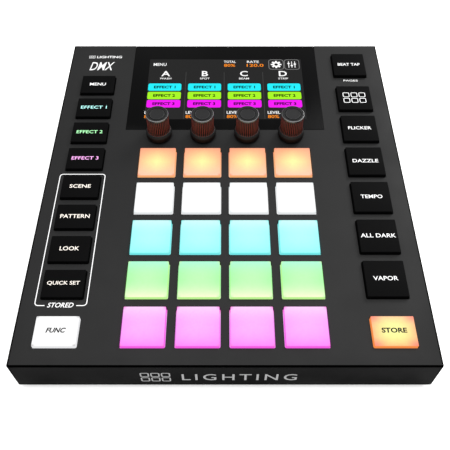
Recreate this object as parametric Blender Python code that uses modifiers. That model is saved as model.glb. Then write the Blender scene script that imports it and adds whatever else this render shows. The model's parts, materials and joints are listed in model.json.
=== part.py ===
"""A lighting control desk: a wedge-shaped case with a grid of lit pads, two key columns, four
push-and-turn knobs and a screen let into the back edge of its sloping deck.

World frame: metres, +Z up, +Y to the back, origin under the middle of the case on the surface it
stands on. The deck and all that is fixed to it are built in the deck frame: an empty at the middle
of the deck's front edge, tilted so that its +Y runs up the deck and its +Z is the deck's normal.
"""

import math

import bmesh
import bpy
from mathutils import Matrix

# Fits
GAP = 0.0003  # between pieces that touch
KEY_CLEARANCE = 0.0005  # round a key or pad in its opening
PLAY = 0.0004  # left under a piece at the end of its travel

# Case
FRONT_HEIGHT = 0.0250  # front face, square to the deck
DECK_TILT = math.radians(5.0)
DECK_THICK = 0.003
COVER_WALL = 0.002
EDGE_ROUND = 0.0008
TRAY_THICK = 0.0015
TRAY_FLANGE = 0.008
PANEL_THICK = 0.002
PANEL_INSET = 0.002  # how far the rear panel sits inside the cover's back edge
BOSS_RADIUS = 0.0025

# Layout of the deck
FRONT_MARGIN = 0.0104  # front edge to the first pad and the two front keys
SIDE_MARGIN = 0.01125  # side edge to the key columns
BACK_MARGIN = 0.0112  # last key to the back edge
COLUMN_GAP = 0.01145  # key column to the glass
KNOB_LINE = 0.0125  # last pad to the knobs' axes
KNOB_BAND = 0.0173  # last pad to the glass
BANK_START = 0.0109  # lit front key to the first key of the left column
TAP_START = 0.01115  # right column to its last key

# Pads
PAD_SIZE = 0.0228
PAD_WEB_X = 0.0056
PAD_WEB_Y = 0.0056
PAD_COLUMNS = "abcd"
PAD_ROWS = 5

# Keys
KEY_WIDTH = 0.0226
LEFT_KEY_DEPTH = 0.0173
RIGHT_KEY_DEPTH = 0.0228
FRONT_KEY_DEPTH = 0.0171
LEFT_KEY_WEB = 0.00535
LEFT_KEYS = ("bank_1", "bank_2", "bank_3", "bank_4", "effect_3", "effect_2", "effect_1", "menu")
RIGHT_KEYS = ("haze", "all_off", "rate", "blind", "flash", "grid")

# Caps, shared by pads and keys
PAD_PROUD = 0.0015  # pads and lit keys above the deck
KEY_PROUD = 0.0022  # black keys above the deck
CAP_CORNER = 0.0005
CAP_CHAMFER = 0.0004
CAP_FLANGE = 0.0012
FLANGE_THICK = 0.0010
CAP_TRAVEL = 0.0010
CORNER_SEGMENTS = 2

# Screen
GLASS_WIDTH = 0.1302
GLASS_DEPTH = 0.0849
GLASS_THICK = 0.0016
GLASS_CHAMFER = 0.0002
MODULE_WIDTH = 0.1206
MODULE_DEPTH = 0.0720
MODULE_THICK = 0.0050
MODULE_BACK = 0.0090  # back edge of the module to the back edge of the glass

# Control board
BOARD_THICK = 0.0016
BOARD_MARGIN = 0.0030
SWITCH_SIZE = 0.0060
SWITCH_HEIGHT = 0.0024
ENCODER_SIZE = 0.0118
BUSHING_WALL = 0.0008
BUSHING_RECESS = 0.0004  # top of the bushing below the deck

# Knobs and their shafts
SHAFT_RADIUS = 0.0025
SHAFT_TOP = 0.0130
SHAFT_FLAT = 0.0017  # axis to the flat
COLLAR_RADIUS = 0.0038
COLLAR_THICK = 0.0010
FLAT_START = 0.0030
KNOB_TOP = 0.0193
KNOB_BOTTOM = 0.0010
KNOB_CAP_RADIUS = 0.0072
KNOB_BODY_RADIUS = 0.0070
KNOB_CAP_HEIGHT = 0.0014
KNOB_CAP_CHAMFER = 0.0005
SKIRT_RADIUS = 0.0084
SKIRT_TOP = 0.0070
SKIRT_EDGE = 0.0022
KNOB_TRAVEL = 0.0005
ROUND_STEPS = 16
KNOB_STEPS = 24
SMALL_STEPS = 8

# Main board
MAIN_BOARD_WIDTH = 0.150
MAIN_BOARD_DEPTH = 0.060
STANDOFF_HEIGHT = 0.0050
STANDOFF_INSET = 0.0050
PROCESSOR_SIZE = 0.020
PROCESSOR_HEIGHT = 0.0030

# Rear sockets
SOCKET_COUNT = 3
SOCKET_START = 0.0280  # side of the case to the first socket's axis
SOCKET_PITCH = 0.0340
SOCKET_WIDTH = 0.0260
SOCKET_HEIGHT = 0.0300
SOCKET_PLATE = 0.0017
SOCKET_CORNER = 0.0030
SOCKET_STEPS = 24
BARREL_RADIUS = 0.0115
BARREL_DEPTH = 0.0200
INSERT_RADIUS = 0.0078
GROOVE_WIDTH = 0.0020
GROOVE_DEPTH = 0.0100
CONTACT_COUNT = 3
CONTACT_RADIUS = 0.0014
CONTACT_CIRCLE = 0.0045
USB_WIDTH = 0.0100
USB_HEIGHT = 0.0042
USB_WALL = 0.0005
USB_DEPTH = 0.0120
USB_START = 0.0600  # right side of the case to the USB socket's middle
LOCK_START = 0.0300  # right side of the case to the lock slot's middle
LOCK_WIDTH = 0.0070
LOCK_HEIGHT = 0.0030

# Feet and vents
FOOT_RADIUS = 0.0070
FOOT_HEIGHT = 0.0030
FOOT_CHAMFER = 0.0006
FOOT_STUD_RADIUS = 0.0020
FOOT_INSET = 0.0150
VENT_COUNT = 7
VENT_LENGTH = 0.0450
VENT_WIDTH = 0.0025
VENT_PITCH = 0.0065

# Worked out from the above
CUT_MARGIN = 0.001  # how far a cutter runs past the face it opens
pad_pitch_x = PAD_SIZE + PAD_WEB_X
pad_pitch_y = PAD_SIZE + PAD_WEB_Y
pads_back = FRONT_MARGIN + PAD_ROWS * PAD_SIZE + (PAD_ROWS - 1) * PAD_WEB_Y
pads_width = len(PAD_COLUMNS) * PAD_SIZE + (len(PAD_COLUMNS) - 1) * PAD_WEB_X
left_pitch = LEFT_KEY_DEPTH + LEFT_KEY_WEB
left_start = FRONT_MARGIN + FRONT_KEY_DEPTH + BANK_START
left_back = left_start + len(LEFT_KEYS) * left_pitch - LEFT_KEY_WEB
right_pitch = max(pad_pitch_y, RIGHT_KEY_DEPTH + PAD_WEB_Y)
right_start = FRONT_MARGIN + max(pad_pitch_y, FRONT_KEY_DEPTH + BANK_START)
right_back = right_start + len(RIGHT_KEYS) * right_pitch - (right_pitch - RIGHT_KEY_DEPTH)
tap_start = right_back + TAP_START
tap_back = tap_start + RIGHT_KEY_DEPTH
case_length = max(pads_back + KNOB_BAND + GLASS_DEPTH, left_back + BACK_MARGIN, tap_back + BACK_MARGIN)
middle_width = max(GLASS_WIDTH, pads_width + 2 * CAP_FLANGE)
case_width = middle_width + 2 * (COLUMN_GAP + KEY_WIDTH + SIDE_MARGIN)
key_column = case_width / 2 - SIDE_MARGIN - KEY_WIDTH / 2
glass_front = case_length - GLASS_DEPTH
knob_line = pads_back + KNOB_LINE
rear_height = FRONT_HEIGHT + case_length * math.tan(DECK_TILT)
flange_top = -DECK_THICK - GAP
cap_bottom = flange_top - FLANGE_THICK
switch_top = cap_bottom - CAP_TRAVEL - PLAY
board_top = switch_top - SWITCH_HEIGHT
encoder_top = -DECK_THICK - PLAY
module_top = -GLASS_THICK - GAP
panel_face = case_length - PANEL_INSET
panel_back = panel_face - PANEL_THICK
case_bottom = FOOT_HEIGHT + GAP
deck_front_y = -(case_length / math.cos(DECK_TILT) + (FRONT_HEIGHT + EDGE_ROUND) * math.sin(DECK_TILT)) / 2
deck_front_z = case_bottom + FRONT_HEIGHT * math.cos(DECK_TILT)
inner_width = case_width - 2 * COVER_WALL


def clear_scene():
    for thing in list(bpy.data.objects):
        bpy.data.objects.remove(thing, do_unlink=True)


def new_collection(name):
    collection = bpy.data.collections.new(name)
    bpy.context.scene.collection.children.link(collection)
    return collection


def new_material(name, colour, roughness, metallic=0.0):
    material = bpy.data.materials.new(name)
    material.use_nodes = True
    shader = material.node_tree.nodes["Principled BSDF"]
    shader.inputs["Base Color"].default_value = (*colour, 1.0)
    shader.inputs["Roughness"].default_value = roughness
    shader.inputs["Metallic"].default_value = metallic
    return material


def place(name, mesh, collection, parent=None, location=(0, 0, 0), rotation=(0, 0, 0)):
    thing = bpy.data.objects.new(name, mesh)
    collection.objects.link(thing)
    thing.parent = parent
    thing.location = location
    thing.rotation_euler = rotation
    return thing


def paint(thing, material):
    """Gives this object its own material, also where its mesh is shared."""
    if not thing.data.materials:
        thing.data.materials.append(None)
    thing.material_slots[0].link = "OBJECT"
    thing.material_slots[0].material = material


def mesh_of(name, build):
    """A mesh filled by build(shape), a function that adds to an empty bmesh."""
    shape = bmesh.new()
    build(shape)
    bmesh.ops.recalc_face_normals(shape, faces=shape.faces)
    mesh = bpy.data.meshes.new(name)
    shape.to_mesh(mesh)
    shape.free()
    return mesh


def add_block(shape, size, centre, corner=0.0):
    """A box, with its upright edges rounded to the radius corner."""
    verts = bmesh.ops.create_cube(shape, size=1.0)["verts"]
    bmesh.ops.scale(shape, vec=size, verts=verts)
    bmesh.ops.translate(shape, vec=centre, verts=verts)
    if corner > 0:
        edges = {edge for vert in verts for edge in vert.link_edges}
        upright = [edge for edge in edges if abs(edge.verts[0].co.z - edge.verts[1].co.z) > size[2] / 2]
        bmesh.ops.bevel(
            shape, geom=upright, offset=corner, segments=CORNER_SEGMENTS, profile=0.5, affect="EDGES"
        )


def add_span(shape, low, high, corner=0.0):
    """A box between its lowest and highest corners."""
    size = [high[i] - low[i] for i in range(3)]
    centre = [(high[i] + low[i]) / 2 for i in range(3)]
    add_block(shape, size, centre, corner)


def add_post(shape, radius, bottom, top, x=0.0, y=0.0, steps=ROUND_STEPS):
    """An upright cylinder."""
    bmesh.ops.create_cone(
        shape,
        cap_ends=True,
        segments=steps,
        radius1=radius,
        radius2=radius,
        depth=top - bottom,
        matrix=Matrix.Translation((x, y, (top + bottom) / 2)),
    )


def add_boolean(thing, operation, build):
    """Joins to thing, or cuts from it, the shape that build(shape) makes in thing's own space."""
    tool = place(f"{thing.name}_{operation.lower()}", mesh_of("tool", build), cutters, thing)
    tool.hide_render = True
    tool.display_type = "WIRE"
    modifier = thing.modifiers.new(operation.title(), "BOOLEAN")
    modifier.operation = operation
    modifier.solver = "EXACT"
    modifier.object = tool


def turned_mesh(name, profile, steps):
    """The mesh of a turned shape. profile lists (radius, height), from the top down its outer side."""
    outline = bpy.data.meshes.new(f"{name}_profile")
    points = [(radius, 0.0, height) for radius, height in profile]
    outline.from_pydata(points, [(i, i + 1) for i in range(len(points) - 1)], [])
    lathe = place(f"{name}_lathe", outline, cutters)
    screw = lathe.modifiers.new("Screw", "SCREW")
    screw.axis = "Z"
    screw.steps = steps
    screw.render_steps = steps
    screw.use_merge_vertices = True
    screw.merge_threshold = 0.00001
    mesh = bpy.data.meshes.new_from_object(lathe.evaluated_get(bpy.context.evaluated_depsgraph_get()))
    mesh.name = name
    bpy.data.objects.remove(lathe, do_unlink=True)
    mesh.shade_smooth()
    mesh.set_sharp_from_angle(angle=math.radians(30))
    return mesh


def base_height(y):
    """Height, in the deck frame, of the horizontal plane that the case ends on."""
    return -FRONT_HEIGHT - y * math.tan(DECK_TILT)


def cap_places():
    """Every pad and key: name, x, y of its middle, width and depth."""
    found = []
    for row in range(PAD_ROWS):
        y = FRONT_MARGIN + PAD_SIZE / 2 + row * pad_pitch_y
        for column, letter in enumerate(PAD_COLUMNS):
            x = (column - (len(PAD_COLUMNS) - 1) / 2) * pad_pitch_x
            found.append((f"pad_{row + 1}{letter}", x, y, PAD_SIZE, PAD_SIZE))
    front_y = FRONT_MARGIN + FRONT_KEY_DEPTH / 2
    found.append(("key_func", -key_column, front_y, KEY_WIDTH, FRONT_KEY_DEPTH))
    found.append(("key_store", key_column, front_y, KEY_WIDTH, FRONT_KEY_DEPTH))
    for i, name in enumerate(LEFT_KEYS):
        y = left_start + LEFT_KEY_DEPTH / 2 + i * left_pitch
        found.append((f"key_{name}", -key_column, y, KEY_WIDTH, LEFT_KEY_DEPTH))
    for i, name in enumerate(RIGHT_KEYS):
        y = right_start + RIGHT_KEY_DEPTH / 2 + i * right_pitch
        found.append((f"key_{name}", key_column, y, KEY_WIDTH, RIGHT_KEY_DEPTH))
    found.append(("key_tap", key_column, tap_start + RIGHT_KEY_DEPTH / 2, KEY_WIDTH, RIGHT_KEY_DEPTH))
    return found


def knob_places():
    return [
        (letter, (i - (len(PAD_COLUMNS) - 1) / 2) * pad_pitch_x, knob_line)
        for i, letter in enumerate(PAD_COLUMNS)
    ]


def boss_places():
    """The cover's bosses, midway between the glass and the key columns."""
    x = middle_width / 2 + COLUMN_GAP / 2
    rows = (FRONT_MARGIN + PAD_SIZE, case_length / 2, case_length - BACK_MARGIN - PAD_SIZE)
    return [(side * x, y) for side in (-1, 1) for y in rows]


def socket_places():
    return [(i + 1, -case_width / 2 + SOCKET_START + i * SOCKET_PITCH) for i in range(SOCKET_COUNT)]


def panel_middle():
    """Height of the rear panel's middle in the deck frame."""
    return (flange_top + base_height(case_length) + TRAY_THICK) / 2


def make_top_cover():
    """Deck, front and both sides: a wedge, hollowed from below and from the back."""

    def wedge(shape):
        add_span(shape, (-case_width / 2, 0, -FRONT_HEIGHT), (case_width / 2, case_length, 0))
        for vert in shape.verts:
            if vert.co.z < -FRONT_HEIGHT / 2:
                vert.co.z = base_height(vert.co.y)
        outer = [edge for edge in shape.edges if is_outer_edge(edge)]
        bmesh.ops.bevel(
            shape, geom=outer, offset=EDGE_ROUND, segments=CORNER_SEGMENTS, profile=0.5, affect="EDGES"
        )

    def is_outer_edge(edge):
        """The deck's front and side edges, and the two upright front corners."""
        ends = [vert.co for vert in edge.verts]
        on_deck = all(end.z > -CUT_MARGIN for end in ends)
        on_front = all(end.y < CUT_MARGIN for end in ends)
        on_side = abs(ends[0].x - ends[1].x) < CUT_MARGIN
        return (on_deck and (on_front or on_side)) or (on_front and on_side)

    def hollow(shape):
        add_span(
            shape,
            (-inner_width / 2, COVER_WALL, -rear_height - CUT_MARGIN),
            (inner_width / 2, case_length + CUT_MARGIN, -DECK_THICK),
        )

    def openings(shape):
        low = -DECK_THICK - CUT_MARGIN
        for _, x, y, width, depth in cap_places():
            half = (width / 2 + KEY_CLEARANCE, depth / 2 + KEY_CLEARANCE)
            add_span(
                shape,
                (x - half[0], y - half[1], low),
                (x + half[0], y + half[1], CUT_MARGIN),
                CAP_CORNER + KEY_CLEARANCE,
            )
        for _, x, y in knob_places():
            add_post(shape, bushing_radius() + GAP, low, CUT_MARGIN, x, y)

    def glass_pocket(shape):
        add_span(
            shape,
            (-GLASS_WIDTH / 2 - GAP, glass_front - GAP, -GLASS_THICK - GAP),
            (GLASS_WIDTH / 2 + GAP, case_length + CUT_MARGIN, CUT_MARGIN),
        )

    def module_opening(shape):
        back = case_length - MODULE_BACK
        add_span(
            shape,
            (-MODULE_WIDTH / 2 - GAP, back - MODULE_DEPTH - GAP, -DECK_THICK - CUT_MARGIN),
            (MODULE_WIDTH / 2 + GAP, back + GAP, -GLASS_THICK),
        )

    def bosses(shape):
        for x, y in boss_places():
            add_post(shape, BOSS_RADIUS, board_top + GAP, -DECK_THICK / 2, x, y, SMALL_STEPS)

    cover = place("top_cover", mesh_of("top_cover", wedge), parts, deck)
    add_boolean(cover, "DIFFERENCE", hollow)
    add_boolean(cover, "DIFFERENCE", openings)
    add_boolean(cover, "DIFFERENCE", glass_pocket)
    add_boolean(cover, "DIFFERENCE", module_opening)
    add_boolean(cover, "UNION", bosses)
    paint(cover, new_material("cover_charcoal", (0.035, 0.035, 0.036), 0.55))


def cap_mesh(name, width, depth, proud):
    """A cap that stands proud of the deck, and the flange that holds it under the deck."""

    def build(shape):
        flange = 2 * CAP_FLANGE
        middle = (0, 0, flange_top - FLANGE_THICK / 2)
        add_block(shape, (width + flange, depth + flange, FLANGE_THICK), middle, CAP_CORNER + CAP_FLANGE)
        top = max(shape.faces, key=lambda face: face.calc_center_median().z)
        bmesh.ops.inset_individual(shape, faces=[top], thickness=CAP_FLANGE, use_even_offset=True)
        rise = proud - CAP_CHAMFER - flange_top
        bmesh.ops.inset_individual(shape, faces=[top], thickness=0.0, depth=rise)
        bmesh.ops.inset_individual(
            shape, faces=[top], thickness=CAP_CHAMFER, depth=CAP_CHAMFER, use_even_offset=True
        )

    return mesh_of(name, build)


def make_caps():
    """Pads and keys, each with its origin on its own slide axis at the deck's face."""
    rubber = new_material("key_black", (0.008, 0.008, 0.009), 0.6)
    rows = [
        new_material("pad_magenta", (0.95, 0.30, 0.90), 0.45),
        new_material("pad_green", (0.40, 0.95, 0.40), 0.45),
        new_material("pad_cyan", (0.35, 0.95, 0.95), 0.45),
        new_material("pad_white", (0.95, 0.95, 0.95), 0.45),
        new_material("pad_amber", (0.95, 0.55, 0.25), 0.45),
    ]
    lit = {
        "key_func": new_material("key_lit_white", (0.92, 0.92, 0.92), 0.45),
        "key_store": new_material("key_lit_amber", (0.95, 0.65, 0.30), 0.45),
    }
    meshes = {}
    for name, x, y, width, depth in cap_places():
        glows = name.startswith("pad_") or name in lit
        size = (width, depth, PAD_PROUD if glows else KEY_PROUD)
        if size not in meshes:
            meshes[size] = cap_mesh(name, *size)
        cap = place(name, meshes[size], parts, deck, (x, y, 0))
        if name.startswith("pad_"):
            row = int(name[len("pad_")]) - 1
            paint(cap, rows[row])
        else:
            paint(cap, lit.get(name, rubber))


def bore_radius():
    return SHAFT_RADIUS + GAP


def bushing_radius():
    return bore_radius() + BUSHING_WALL


def shaft_bottom():
    return board_top + PLAY


def make_encoder_shafts():
    """D-shaped shafts, each with a collar that stays inside the encoder's body."""
    collar_top = shaft_bottom() + COLLAR_THICK
    profile = [
        (0, SHAFT_TOP),
        (SHAFT_RADIUS, SHAFT_TOP),
        (SHAFT_RADIUS, collar_top),
        (COLLAR_RADIUS, collar_top),
        (COLLAR_RADIUS, shaft_bottom()),
        (0, shaft_bottom()),
    ]

    def flat(shape):
        side = 2 * SHAFT_RADIUS
        add_span(shape, (-side, SHAFT_FLAT, FLAT_START), (side, side, SHAFT_TOP + CUT_MARGIN))

    steel = new_material("shaft_steel", (0.60, 0.60, 0.62), 0.35, 1.0)
    mesh = turned_mesh("encoder_shaft", profile, ROUND_STEPS)
    for letter, x, y in knob_places():
        shaft = place(f"encoder_shaft_{letter}", mesh, parts, deck, (x, y, 0))
        add_boolean(shaft, "DIFFERENCE", flat)
        paint(shaft, steel)


def make_knobs():
    """Turned knobs with a flared skirt and a D-shaped bore, on the shafts' axes."""
    cap_bottom_z = KNOB_TOP - KNOB_CAP_HEIGHT
    step = KNOB_CAP_RADIUS - KNOB_BODY_RADIUS
    profile = [
        (0, KNOB_TOP),
        (KNOB_CAP_RADIUS - KNOB_CAP_CHAMFER, KNOB_TOP),
        (KNOB_CAP_RADIUS, KNOB_TOP - KNOB_CAP_CHAMFER),
        (KNOB_CAP_RADIUS, cap_bottom_z),
        (KNOB_BODY_RADIUS, cap_bottom_z - step),
        (KNOB_BODY_RADIUS + step / 2, SKIRT_TOP),
        (SKIRT_RADIUS - step, SKIRT_EDGE),
        (SKIRT_RADIUS, (SKIRT_EDGE + KNOB_BOTTOM) / 2),
        (SKIRT_RADIUS - step, KNOB_BOTTOM),
        (0, KNOB_BOTTOM),
    ]
    bore_top = SHAFT_TOP + KNOB_TRAVEL + PLAY
    flat_bottom = FLAT_START + KNOB_TRAVEL + PLAY

    def bore(shape):
        add_post(shape, bore_radius(), KNOB_BOTTOM - CUT_MARGIN, bore_top)

    def key(shape):
        """Fills the bore beyond the shaft's flat, so that the knob turns with the shaft."""
        side = bore_radius()
        add_span(
            shape,
            (-side, SHAFT_FLAT + GAP, flat_bottom),
            (side, side + KEY_CLEARANCE, bore_top + KEY_CLEARANCE),
        )

    plastic = new_material("knob_dark", (0.05, 0.025, 0.022), 0.5)
    mesh = turned_mesh("knob", profile, KNOB_STEPS)
    for letter, x, y in knob_places():
        knob = place(f"knob_{letter}", mesh, parts, deck, (x, y, 0))
        add_boolean(knob, "DIFFERENCE", bore)
        add_boolean(knob, "UNION", key)
        paint(knob, plastic)


def make_control_board():
    """The board under the deck, with a switch under each cap and a body for each encoder."""
    half = inner_width / 2 - BOARD_MARGIN
    low = board_top - BOARD_THICK

    def board(shape):
        back = panel_back - BOARD_MARGIN
        add_span(shape, (-half, COVER_WALL + BOARD_MARGIN, low), (half, back, board_top))

    def fittings(shape):
        root = board_top - BOARD_THICK / 2
        for _, x, y, _, _ in cap_places():
            corner = SWITCH_SIZE / 2
            add_span(shape, (x - corner, y - corner, root), (x + corner, y + corner, switch_top))
        for _, x, y in knob_places():
            corner = ENCODER_SIZE / 2
            add_span(shape, (x - corner, y - corner, root), (x + corner, y + corner, encoder_top))

    def bushings(shape):
        for _, x, y in knob_places():
            add_post(shape, bushing_radius(), encoder_top - GAP, -BUSHING_RECESS, x, y)

    def collar_pockets(shape):
        for _, x, y in knob_places():
            low_z = shaft_bottom() - PLAY / 2
            high_z = shaft_bottom() + COLLAR_THICK + GAP
            add_post(shape, COLLAR_RADIUS + GAP, low_z, high_z, x, y)

    def bores(shape):
        for _, x, y in knob_places():
            add_post(shape, bore_radius(), shaft_bottom(), CUT_MARGIN, x, y)

    thing = place("control_board", mesh_of("control_board", board), parts, deck)
    add_boolean(thing, "UNION", fittings)
    add_boolean(thing, "UNION", bushings)
    add_boolean(thing, "DIFFERENCE", collar_pockets)
    add_boolean(thing, "DIFFERENCE", bores)
    paint(thing, new_material("board_green", (0.02, 0.10, 0.05), 0.5))


def make_screen():
    """Glass flush with the deck, and the display module close behind it."""

    def glass(shape):
        add_span(shape, (-GLASS_WIDTH / 2, glass_front, -GLASS_THICK), (GLASS_WIDTH / 2, case_length, 0))
        top = max(shape.faces, key=lambda face: face.calc_center_median().z)
        bmesh.ops.bevel(shape, geom=top.edges[:], offset=GLASS_CHAMFER, segments=1, affect="EDGES")

    def module(shape):
        back = case_length - MODULE_BACK
        add_span(
            shape,
            (-MODULE_WIDTH / 2, back - MODULE_DEPTH, module_top - MODULE_THICK),
            (MODULE_WIDTH / 2, back, module_top),
        )

    pane = place("screen_glass", mesh_of("screen_glass", glass), parts, deck)
    paint(pane, new_material("glass_black", (0.01, 0.01, 0.012), 0.08))
    panel = place("display_module", mesh_of("display_module", module), parts, deck)
    paint(panel, new_material("display_frame", (0.25, 0.25, 0.27), 0.4, 1.0))


def make_rear_panel():
    """The plate between the cover's sides, with an opening for each socket."""
    floor = base_height(panel_back) + (TRAY_THICK + GAP) / math.cos(DECK_TILT)
    middle = panel_middle()

    def plate(shape):
        half = inner_width / 2 - GAP
        add_span(shape, (-half, panel_back, floor), (half, panel_face, flange_top))

    def openings(shape):
        back = panel_face + CUT_MARGIN
        front = panel_back - CUT_MARGIN
        for _, x in socket_places():
            turn = Matrix.Translation((x, (front + back) / 2, middle)) @ Matrix.Rotation(math.pi / 2, 4, "X")
            radius = BARREL_RADIUS + GAP
            bmesh.ops.create_cone(
                shape,
                cap_ends=True,
                segments=SOCKET_STEPS,
                radius1=radius,
                radius2=radius,
                depth=back - front,
                matrix=turn,
            )
        usb = (USB_WIDTH / 2 + GAP, USB_HEIGHT / 2 + GAP)
        lock = (LOCK_WIDTH / 2, LOCK_HEIGHT / 2)
        for start, (wide, high) in ((USB_START, usb), (LOCK_START, lock)):
            x = case_width / 2 - start
            add_span(shape, (x - wide, front, middle - high), (x + wide, back, middle + high))

    panel = place("rear_panel", mesh_of("rear_panel", plate), parts, deck)
    add_boolean(panel, "DIFFERENCE", openings)
    paint(panel, new_material("panel_charcoal", (0.03, 0.03, 0.031), 0.5))


def make_dmx_sockets():
    """Round three-contact sockets. Each is built along Z, face up, and turned to face the back."""
    socket_face = GAP + SOCKET_PLATE

    def plate(shape):
        add_span(
            shape,
            (-SOCKET_WIDTH / 2, -SOCKET_HEIGHT / 2, GAP),
            (SOCKET_WIDTH / 2, SOCKET_HEIGHT / 2, socket_face),
            SOCKET_CORNER,
        )

    def barrel(shape):
        add_post(shape, BARREL_RADIUS, -BARREL_DEPTH, GAP + SOCKET_PLATE / 2, steps=SOCKET_STEPS)

    def contacts(shape):
        for i in range(CONTACT_COUNT):
            angle = math.radians(90 + i * 360 / CONTACT_COUNT)
            x = CONTACT_CIRCLE * math.cos(angle)
            y = CONTACT_CIRCLE * math.sin(angle)
            add_post(shape, CONTACT_RADIUS, -GROOVE_DEPTH, socket_face + CUT_MARGIN, x, y, SMALL_STEPS)

    def recess(shape):
        radius = INSERT_RADIUS + GROOVE_WIDTH
        add_post(shape, radius, -GROOVE_DEPTH, socket_face + CUT_MARGIN, steps=SOCKET_STEPS)

    def insert(shape):
        root = -GROOVE_DEPTH - BARREL_DEPTH / 4
        add_post(shape, INSERT_RADIUS, root, socket_face, steps=SOCKET_STEPS)

    metal = new_material("socket_nickel", (0.10, 0.10, 0.105), 0.35, 1.0)
    mesh = mesh_of("dmx_socket", plate)
    for number, x in socket_places():
        socket = place(
            f"dmx_socket_{number}", mesh, parts, deck, (x, panel_face, panel_middle()), (-math.pi / 2, 0, 0)
        )
        add_boolean(socket, "UNION", barrel)
        add_boolean(socket, "DIFFERENCE", recess)
        add_boolean(socket, "UNION", insert)
        add_boolean(socket, "DIFFERENCE", contacts)
        paint(socket, metal)


def make_usb_socket():
    """A shallow metal shell with a tongue in its mouth, just inside the panel's face."""
    x = case_width / 2 - USB_START
    middle = panel_middle()
    mouth = panel_face - GAP

    def shell(shape):
        add_span(
            shape,
            (x - USB_WIDTH / 2, mouth - USB_DEPTH, middle - USB_HEIGHT / 2),
            (x + USB_WIDTH / 2, mouth, middle + USB_HEIGHT / 2),
        )

    def hollow(shape):
        wide = USB_WIDTH / 2 - USB_WALL
        high = USB_HEIGHT / 2 - USB_WALL
        add_span(
            shape,
            (x - wide, mouth - USB_DEPTH + USB_WALL, middle - high),
            (x + wide, mouth + CUT_MARGIN, middle + high),
        )

    def tongue(shape):
        wide = USB_WIDTH / 2 - 3 * USB_WALL
        add_span(
            shape,
            (x - wide, mouth - USB_DEPTH + USB_WALL / 2, middle - USB_WALL),
            (x + wide, mouth - 2 * USB_WALL, middle + USB_WALL),
        )

    socket = place("usb_socket", mesh_of("usb_socket", shell), parts, deck)
    add_boolean(socket, "DIFFERENCE", hollow)
    add_boolean(socket, "UNION", tongue)
    paint(socket, new_material("usb_steel", (0.55, 0.55, 0.57), 0.3, 1.0))


def deck_to_world_y(y, z):
    return deck_front_y + y * math.cos(DECK_TILT) - z * math.sin(DECK_TILT)


def tray_front():
    return deck_to_world_y(COVER_WALL + GAP, base_height(COVER_WALL))


def tray_back():
    return deck_to_world_y(case_length, base_height(case_length))


def foot_places():
    front = tray_front() + FOOT_INSET
    back = tray_back() - FOOT_INSET
    side = inner_width / 2 - FOOT_INSET
    return [
        ("front_left", -side, front),
        ("front_right", side, front),
        ("rear_left", -side, back),
        ("rear_right", side, back),
    ]


def main_board_back():
    """The main board ends short of the socket barrels."""
    return deck_to_world_y(panel_face - BARREL_DEPTH, panel_middle()) - 2 * BOARD_MARGIN


def standoff_places():
    x = MAIN_BOARD_WIDTH / 2 - STANDOFF_INSET
    back = main_board_back() - STANDOFF_INSET
    front = main_board_back() - MAIN_BOARD_DEPTH + STANDOFF_INSET
    return [(side * x, y) for side in (-1, 1) for y in (front, back)]


def make_base_tray():
    """The floor of the case, with a flange up each side and standoffs for the main board."""
    half = inner_width / 2 - GAP
    floor_top = case_bottom + TRAY_THICK

    def floor(shape):
        add_span(shape, (-half, tray_front(), case_bottom), (half, tray_back(), floor_top))

    def uprights(shape):
        front = tray_front() + BOARD_MARGIN
        back = deck_to_world_y(panel_back, flange_top) - BOARD_MARGIN
        top = case_bottom + TRAY_FLANGE
        for side in (-1, 1):
            xs = sorted((side * half, side * (half - TRAY_THICK)))
            add_span(shape, (xs[0], front, case_bottom + TRAY_THICK / 2), (xs[1], back, top))
        for x, y in standoff_places():
            top = floor_top + STANDOFF_HEIGHT
            add_post(shape, BOSS_RADIUS, case_bottom + TRAY_THICK / 2, top, x, y, SMALL_STEPS)

    def holes(shape):
        low = case_bottom - CUT_MARGIN
        high = floor_top + CUT_MARGIN
        for _, x, y in foot_places():
            add_post(shape, FOOT_STUD_RADIUS + GAP, low, high, x, y)
        middle_y = (tray_front() + tray_back()) / 2
        for side in (-1, 1):
            for i in range(VENT_COUNT):
                y = middle_y + (i - (VENT_COUNT - 1) / 2) * VENT_PITCH
                xs = sorted((side * BOARD_MARGIN * 2, side * (BOARD_MARGIN * 2 + VENT_LENGTH)))
                add_span(shape, (xs[0], y - VENT_WIDTH / 2, low), (xs[1], y + VENT_WIDTH / 2, high))

    tray = place("base_tray", mesh_of("base_tray", floor), parts)
    add_boolean(tray, "UNION", uprights)
    add_boolean(tray, "DIFFERENCE", holes)
    paint(tray, new_material("tray_black", (0.02, 0.02, 0.021), 0.5, 0.3))


def make_main_board():
    """The board on the tray's standoffs, with its processor."""
    low = case_bottom + TRAY_THICK + STANDOFF_HEIGHT + GAP
    back = main_board_back()
    front = back - MAIN_BOARD_DEPTH
    half = MAIN_BOARD_WIDTH / 2

    def board(shape):
        add_span(shape, (-half, front, low), (half, back, low + BOARD_THICK))

    def processor(shape):
        corner = PROCESSOR_SIZE / 2
        y = (front + back) / 2
        top = low + BOARD_THICK + PROCESSOR_HEIGHT
        add_span(shape, (-corner, y - corner, low + BOARD_THICK / 2), (corner, y + corner, top))

    thing = place("main_board", mesh_of("main_board", board), parts)
    add_boolean(thing, "UNION", processor)
    paint(thing, new_material("main_board_green", (0.02, 0.10, 0.05), 0.5))


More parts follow.
